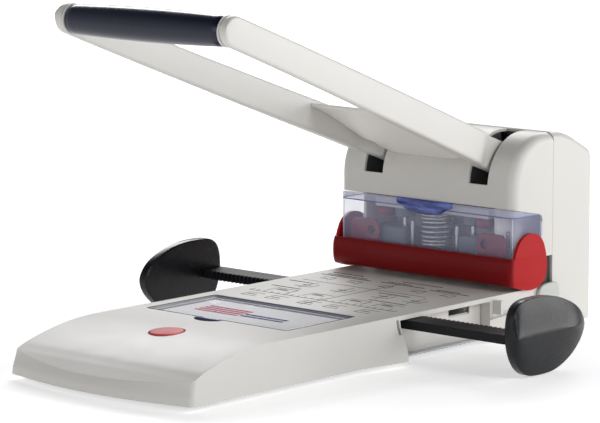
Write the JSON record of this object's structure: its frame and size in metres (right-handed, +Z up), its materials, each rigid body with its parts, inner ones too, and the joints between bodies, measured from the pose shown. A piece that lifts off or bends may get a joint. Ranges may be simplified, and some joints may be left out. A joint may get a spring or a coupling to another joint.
{
  "type": "hole punch",
  "caption": "Heavy-duty desk paper punch with a long lever handle, clear punch guard, finger guard, geared side stops and a lidded compartment.",
  "frame": {"origin": "middle of the ground rectangle under the whole machine, on the surface that the feet stand on", "axes": "+X to the operator's right, +Y from the front edge back to the punch head, +Z up"},
  "size_m": [0.446, 0.545, 0.3113],
  "materials": {
    "shell": "fine-textured satin moulding, warm light grey",
    "shell_dark": "satin dark grey moulding",
    "red": "semi-gloss red moulding",
    "button_red": "semi-gloss orange-red cap",
    "grip": "glossy near-black navy sleeve",
    "black": "semi-gloss black moulding",
    "clear": "clear plastic with a faint lavender tint",
    "latch_blue": "glossy deep blue moulding",
    "steel": "zinc-plated steel",
    "guide_grey": "satin grey-blue coated metal",
    "spring_steel": "bright drawn wire and ground punches",
    "nylon": "natural nylon",
    "rubber": "matte black rubber",
    "card": "white card"
  },
  "bodies": {
    "base": {"base_cover": "shell", "base_plate": "steel", "foot_1": "rubber", "foot_2": "rubber", "foot_3": "rubber", "foot_4": "rubber", "head_front_cover": "shell", "head_rear_cover": "shell", "clear_guard": "clear", "guard_stud_left": "shell_dark", "guard_stud_right": "shell_dark", "frame_cheek_left": "steel", "frame_cheek_right": "steel", "lower_bridge": "steel", "guide_block_left": "guide_grey", "guide_block_right": "guide_grey", "spring_post": "steel", "die_plate": "steel", "cutting_disc_left": "nylon", "cutting_disc_right": "nylon", "back_stop": "shell_dark", "pivot_shaft": "steel", "rear_tie_bar": "steel", "stop_tray": "shell", "bar_rail_front": "nylon", "bar_rail_rear": "nylon", "pinion_post": "nylon", "depot_tray": "shell_dark", "button_socket": "nylon"},
    "handle": {"handle_arm_left": "shell", "handle_arm_right": "shell", "handle_web": "shell", "grip_rod": "steel", "grip_collar_left": "shell", "grip_collar_right": "shell", "grip_sleeve": "grip", "drive_sector": "steel"},
    "punch_drive": {"punch_yoke": "steel", "drive_rack": "steel", "punch_holder_left": "guide_grey", "punch_holder_right": "guide_grey", "punch_pin_left": "spring_steel", "punch_pin_right": "spring_steel", "punch_clip_left": "red", "punch_clip_right": "red", "return_spring": "spring_steel"},
    "guard": {"finger_guard": "red"},
    "right_stop": {"right_stop_bar": "black", "right_stop_paddle": "black"},
    "left_stop": {"left_stop_bar": "black", "left_stop_paddle": "black"},
    "pinion": {"stop_pinion": "nylon"},
    "lid": {"depot_lid": "clear", "label_card": "card"},
    "button": {"release_button": "button_red", "button_spring": "spring_steel"},
    "latch": {"latch_tab": "latch_blue"},
    "tray": {"chip_tray": "shell"}
  },
  "joints": [
    {"name": "handle_swing", "type": "hinge", "parent": "base", "child": "handle", "pos_m": [0, 0.2025, 0.133], "axis": [-1, 0, 0], "range_deg": [-18, 38], "stiffness_Nm_per_rad": 4, "springref_deg": 20.88},
    {"name": "punch_travel", "type": "slide", "parent": "base", "child": "punch_drive", "axis": [0, 0, 1], "range_m": [-0.0084, 0.0177], "deforming": ["return_spring"]},
    {"name": "guard_swing", "type": "hinge", "parent": "base", "child": "guard", "pos_m": [0, 0.1875, 0.084], "axis": [-1, 0, 0], "range_deg": [0, 40]},
    {"name": "right_stop_slide", "type": "slide", "parent": "base", "child": "right_stop", "axis": [-1, 0, 0], "range_m": [0, 0.085]},
    {"name": "left_stop_slide", "type": "slide", "parent": "base", "child": "left_stop", "axis": [1, 0, 0], "range_m": [0, 0.085]},
    {"name": "pinion_spin", "type": "hinge", "parent": "base", "child": "pinion", "pos_m": [0, 0.0565, 0.0345], "axis": [0, 0, -1], "range_deg": [0, 203]},
    {"name": "lid_hinge", "type": "hinge", "parent": "base", "child": "lid", "pos_m": [0, -0.0295, 0.043], "axis": [-1, 0, 0], "range_deg": [0, 100]},
    {"name": "button_press", "type": "slide", "parent": "base", "child": "button", "axis": [0, 0, -1], "range_m": [0, 0.003], "stiffness_N_per_m": 400, "springref_m": -0.002, "deforming": ["button_spring"]},
    {"name": "latch_press", "type": "slide", "parent": "base", "child": "latch", "axis": [0, 0, -1], "range_m": [0, 0.003], "stiffness_N_per_m": 400, "springref_m": -0.002},
    {"name": "tray_slide", "type": "slide", "parent": "base", "child": "tray", "axis": [0, 1, 0], "range_m": [0, 0.1]}
  ],
  "couplings": [
    {"joint": "punch_travel", "follows": "handle_swing", "m_per_rad": 0.0266},
    {"joint": "left_stop_slide", "follows": "right_stop_slide", "ratio": 1},
    {"joint": "pinion_spin", "follows": "right_stop_slide", "rad_per_m": 41.667}
  ]
}
